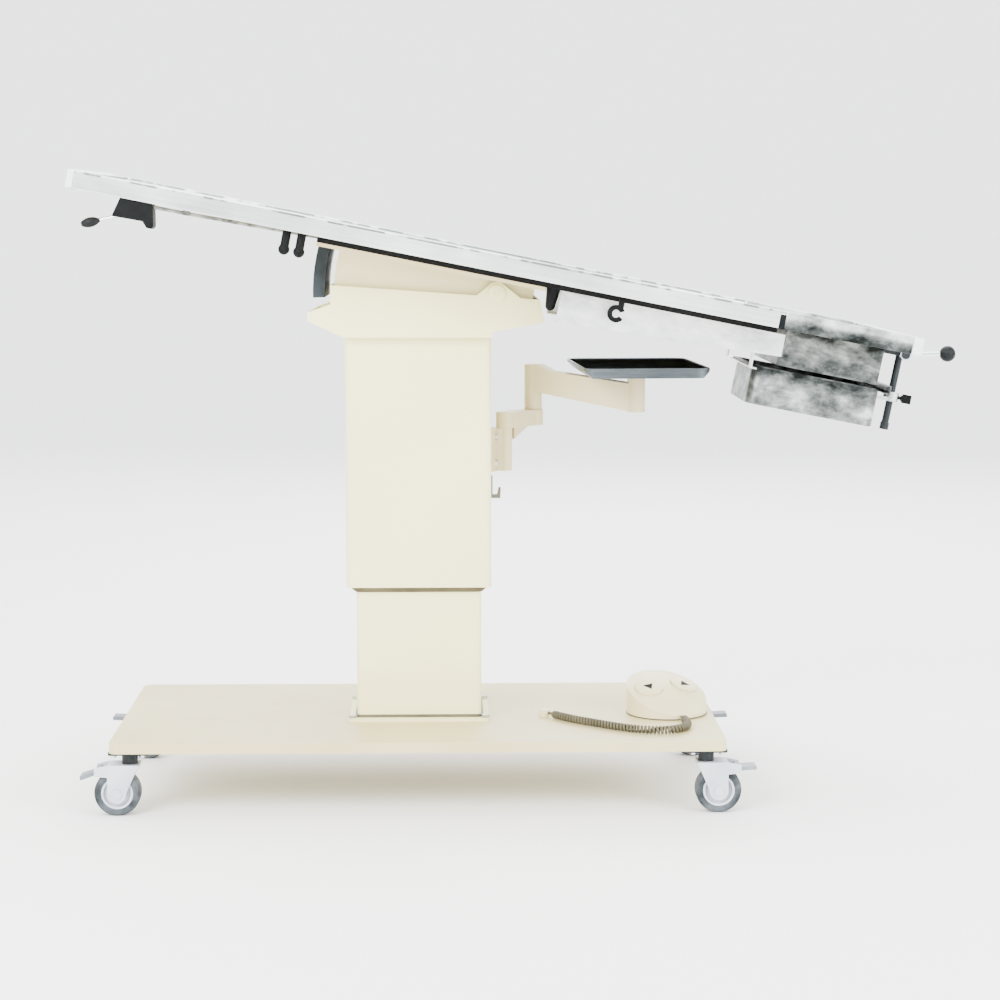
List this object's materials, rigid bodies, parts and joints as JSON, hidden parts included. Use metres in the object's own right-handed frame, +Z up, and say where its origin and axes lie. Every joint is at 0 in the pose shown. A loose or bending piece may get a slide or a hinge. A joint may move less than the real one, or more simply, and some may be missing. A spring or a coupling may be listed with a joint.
{
  "type": "veterinary examination table",
  "caption": "Tilting stainless examination table on a telescopic lifting column, with a castored base plate, drain end, swing-out instrument tray and foot switch.",
  "frame": {"origin": "on the floor under the middle of the whole table as drawn", "axes": "+X along the table towards its drain end, -Y towards the user at the side with the cleats, +Z up"},
  "size_m": [1.4576, 0.502, 1.0441],
  "materials": {
    "cream_paint": "smooth semi-gloss powder coat, ivory",
    "beige_paint": "smooth semi-gloss powder coat, warm beige",
    "arm_paint": "fine-texture powder coat, beige",
    "stainless": "brushed along the table, satin",
    "tray_steel": "brushed, darkened by handling",
    "beam_steel": "mill finish, dulled",
    "cable_sheath": "grey sheath, worn in patches",
    "hook_paint": "taupe powder coat",
    "basin_steel": "brushed, with a dark reflective polish",
    "core_board": "sealed board, matt",
    "white_laminate": "light grey edge strip",
    "black_rail": "black satin paint",
    "black_plastic": "moulded, fine texture",
    "blue_black_plastic": "moulded, soft sheen",
    "black_rubber": "moulded, matt",
    "grey_tyre": "grey rubber tread",
    "grey_plastic": "light grey moulding",
    "switch_plastic": "cream moulding",
    "cord_jacket": "grey-brown jacket",
    "dark_steel": "black zinc",
    "bright_steel": "bright plated",
    "bronze": "sintered bearing bronze",
    "nylon": "natural nylon",
    "grey_paint": "grey machine paint"
  },
  "bodies": {
    "base": {"base_plate": "beige_paint", "lower_column": "cream_paint", "lift_actuator": "grey_paint", "control_box": "beige_paint", "cord_gland": "switch_plastic", "foot_switch_housing": "switch_plastic", "foot_switch_cord": "cord_jacket", "caster_plates": "dark_steel", "base_fasteners": "bright_steel"},
    "fork_head_near": {"caster_fork_head_near": "grey_plastic"},
    "wheel_head_near": {"caster_hub_head_near": "grey_plastic", "caster_tyre_head_near": "grey_tyre"},
    "pedal_head_near": {"brake_pedal_head_near": "grey_paint"},
    "fork_head_far": {"caster_fork_head_far": "grey_plastic"},
    "wheel_head_far": {"caster_hub_head_far": "grey_plastic", "caster_tyre_head_far": "grey_tyre"},
    "pedal_head_far": {"brake_pedal_head_far": "grey_paint"},
    "fork_drain_near": {"caster_fork_drain_near": "grey_plastic"},
    "wheel_drain_near": {"caster_hub_drain_near": "grey_plastic", "caster_tyre_drain_near": "grey_tyre"},
    "pedal_drain_near": {"brake_pedal_drain_near": "grey_paint"},
    "fork_drain_far": {"caster_fork_drain_far": "grey_plastic"},
    "wheel_drain_far": {"caster_hub_drain_far": "grey_plastic", "caster_tyre_drain_far": "grey_tyre"},
    "pedal_drain_far": {"brake_pedal_drain_far": "grey_paint"},
    "down_pad": {"down_pad": "switch_plastic"},
    "up_pad": {"up_pad": "switch_plastic"},
    "lift": {"outer_sleeve": "cream_paint", "glide_strips": "nylon", "lift_rod": "bright_steel", "head_housing": "cream_paint", "pivot_bushes": "bronze", "tray_bracket": "arm_paint", "cable_hook": "hook_paint", "head_fasteners": "bright_steel"},
    "table": {"tilt_cradle": "cream_paint", "pivot_shaft": "bright_steel", "tilt_shield": "blue_black_plastic", "frame_rails": "black_rail", "side_beams": "beam_steel", "top_panel": "stainless", "core_boards": "core_board", "joint_seal": "black_rubber", "drain_section": "basin_steel", "end_trims": "white_laminate", "release_block": "black_plastic", "release_cable": "cable_sheath", "tie_cleats": "black_plastic", "hanger_rod": "dark_steel"},
    "gas_cylinder": {"gas_spring_cylinder": "black_rail"},
    "gas_rod": {"gas_spring_rod": "bright_steel"},
    "lower_arm": {"lower_arm": "arm_paint"},
    "upper_arm": {"upper_arm": "arm_paint"},
    "tray": {"instrument_tray": "tray_steel", "tray_mat": "black_rubber"},
    "release_lever": {"release_lever": "black_plastic"},
    "drain_pan": {"drain_pan": "basin_steel"},
    "rod_collar": {"rod_collar": "bright_steel"},
    "thumb_screw": {"thumb_screw": "black_plastic"},
    "clamp_lever": {"clamp_lever": "black_plastic"}
  },
  "joints": [
    {"name": "swivel_head_near", "type": "hinge", "parent": "base", "child": "fork_head_near", "pos_m": [-0.6467, -0.21, 0.09], "axis": [0, 0, 1], "continuous": true},
    {"name": "roll_head_near", "type": "hinge", "parent": "fork_head_near", "child": "wheel_head_near", "pos_m": [-0.6667, -0.21, 0.0375], "axis": [0, 1, 0], "continuous": true},
    {"name": "brake_head_near", "type": "hinge", "parent": "fork_head_near", "child": "pedal_head_near", "pos_m": [-0.6967, -0.21, 0.073], "axis": [0, 1, 0], "range_deg": [0, 22]},
    {"name": "swivel_head_far", "type": "hinge", "parent": "base", "child": "fork_head_far", "pos_m": [-0.6467, 0.21, 0.09], "axis": [0, 0, 1], "continuous": true},
    {"name": "roll_head_far", "type": "hinge", "parent": "fork_head_far", "child": "wheel_head_far", "pos_m": [-0.6667, 0.21, 0.0375], "axis": [0, 1, 0], "continuous": true},
    {"name": "brake_head_far", "type": "hinge", "parent": "fork_head_far", "child": "pedal_head_far", "pos_m": [-0.6967, 0.21, 0.073], "axis": [0, 1, 0], "range_deg": [-22, 0]},
    {"name": "swivel_drain_near", "type": "hinge", "parent": "base", "child": "fork_drain_near", "pos_m": [0.2933, -0.21, 0.09], "axis": [0, 0, 1], "continuous": true},
    {"name": "roll_drain_near", "type": "hinge", "parent": "fork_drain_near", "child": "wheel_drain_near", "pos_m": [0.3133, -0.21, 0.0375], "axis": [0, 1, 0], "continuous": true},
    {"name": "brake_drain_near", "type": "hinge", "parent": "fork_drain_near", "child": "pedal_drain_near", "pos_m": [0.3433, -0.21, 0.073], "axis": [0, -1, 0], "range_deg": [-22, 0]},
    {"name": "swivel_drain_far", "type": "hinge", "parent": "base", "child": "fork_drain_far", "pos_m": [0.2933, 0.21, 0.09], "axis": [0, 0, 1], "continuous": true},
    {"name": "roll_drain_far", "type": "hinge", "parent": "fork_drain_far", "child": "wheel_drain_far", "pos_m": [0.3133, 0.21, 0.0375], "axis": [0, 1, 0], "continuous": true},
    {"name": "brake_drain_far", "type": "hinge", "parent": "fork_drain_far", "child": "pedal_drain_far", "pos_m": [0.3433, 0.21, 0.073], "axis": [0, -1, 0], "range_deg": [-22, 0]},
    {"name": "down_pad_press", "type": "slide", "parent": "base", "child": "down_pad", "axis": [-0.1515, 0.3248, -0.9336], "range_m": [0, 0.004], "stiffness_N_per_m": 500, "springref_m": -0.002},
    {"name": "up_pad_press", "type": "slide", "parent": "base", "child": "up_pad", "axis": [-0.1515, 0.3248, -0.9336], "range_m": [0, 0.004], "stiffness_N_per_m": 500, "springref_m": -0.002},
    {"name": "lift", "type": "slide", "parent": "base", "child": "lift", "axis": [0, 0, 1], "range_m": [-0.205, 0.095]},
    {"name": "table_tilt", "type": "hinge", "parent": "lift", "child": "table", "pos_m": [-0.0467, 0, 0.844], "axis": [0, 1, 0], "range_deg": [-11.2, 3.8]},
    {"name": "gas_spring_swing", "type": "hinge", "parent": "lift", "child": "gas_cylinder", "pos_m": [-0.0917, 0, 0.8], "axis": [0, 1, 0], "range_deg": [-12.9, 4.5]},
    {"name": "gas_spring_stroke", "type": "slide", "parent": "gas_cylinder", "child": "gas_rod", "axis": [-0.8716, 0, 0.4902], "range_m": [-0.0117, 0.0041]},
    {"name": "lower_arm_swing", "type": "hinge", "parent": "lift", "child": "lower_arm", "pos_m": [-0.0307, 0, 0.613], "axis": [0, 0, 1], "range_deg": [-30, 10]},
    {"name": "upper_arm_swing", "type": "hinge", "parent": "lower_arm", "child": "upper_arm", "pos_m": [0.0193, 0.06, 0.64], "axis": [0, 0, 1], "range_deg": [-28, 5]},
    {"name": "tray_turn", "type": "hinge", "parent": "upper_arm", "child": "tray", "pos_m": [0.1893, -0.03, 0.704], "axis": [0, 0, 1], "range_deg": [-12, 12]},
    {"name": "release_lever_pull", "type": "hinge", "parent": "table", "child": "release_lever", "pos_m": [-0.63059, -0.225, 0.97389], "axis": [0, 1, 0], "range_deg": [0, 12], "stiffness_Nm_per_rad": 1, "springref_deg": -11.46},
    {"name": "drain_pan_slide", "type": "slide", "parent": "table", "child": "drain_pan", "axis": [0, -1, 0], "range_m": [0, 0.25]},
    {"name": "collar_slide", "type": "slide", "parent": "table", "child": "rod_collar", "axis": [0.1942, 0, 0.981], "range_m": [-0.03, 0.02]},
    {"name": "thumb_screw_turn", "type": "hinge", "parent": "rod_collar", "child": "thumb_screw", "pos_m": [0.63417, 0, 0.66331], "axis": [0.981, 0, -0.1942], "range_deg": [0, 360]},
    {"name": "clamp_lever_swing", "type": "hinge", "parent": "table", "child": "clamp_lever", "pos_m": [0.64364, -0.022, 0.73687], "axis": [0, 1, 0], "range_deg": [-45, 45]}
  ],
  "couplings": [
    {"joint": "gas_spring_swing", "follows": "table_tilt", "ratio": 1.13},
    {"joint": "gas_spring_stroke", "follows": "table_tilt", "m_per_rad": 0.0588}
  ]
}
